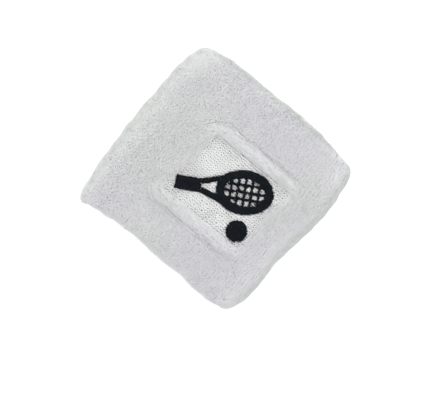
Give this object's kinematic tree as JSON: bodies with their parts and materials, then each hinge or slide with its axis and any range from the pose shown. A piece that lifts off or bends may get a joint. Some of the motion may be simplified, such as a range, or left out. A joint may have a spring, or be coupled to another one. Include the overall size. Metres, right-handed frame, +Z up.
{
  "type": "sweat wristband",
  "caption": "Soft terry sweat wristband lying flat: a double-layer knitted tube with folded cuffs, a hidden seam and an embroidered mark in a plain-knit window.",
  "frame": {"origin": "centre of the underside of the band as it lies flat", "axes": "+X across the band as it lies flat, +Y along the arm, +Z up through the marked wall"},
  "size_m": [0.0814, 0.078, 0.0191],
  "materials": {
    "outer_terry": "looped cotton terry, matte",
    "lining_terry": "looped cotton terry, matte",
    "ground_knit": "plain knit, matte",
    "window_knit": "plain knit, matte",
    "elastic_yarn": "covered elastic yarn",
    "seam_thread": "spun sewing thread",
    "backing": "non-woven backing",
    "embroidery_thread": "satin-stitched thread, low sheen",
    "bobbin_thread": "spun thread"
  },
  "bodies": {
    "root": {"outer_terry_pile": "outer_terry", "lining_terry_pile_front": "lining_terry", "lining_terry_pile_back": "lining_terry", "outer_ground_knit": "ground_knit", "lining_ground_knit_front": "ground_knit", "lining_ground_knit_back": "ground_knit", "outer_elastic_yarn": "elastic_yarn", "lining_elastic_yarn": "elastic_yarn", "seam_needle_thread": "seam_thread", "seam_upper_looper_thread": "seam_thread", "seam_lower_looper_thread": "seam_thread", "window_knit_panel": "window_knit", "embroidery_backing": "backing", "stitching_racket_head": "embroidery_thread", "stitching_racket_strings": "embroidery_thread", "stitching_racket_throat_left": "embroidery_thread", "stitching_racket_throat_right": "embroidery_thread", "stitching_racket_grip": "embroidery_thread", "stitching_ball": "embroidery_thread", "bobbin_stitching_head": "bobbin_thread", "bobbin_stitching_grip": "bobbin_thread", "bobbin_stitching_ball": "bobbin_thread"}
  },
  "joints": []
}
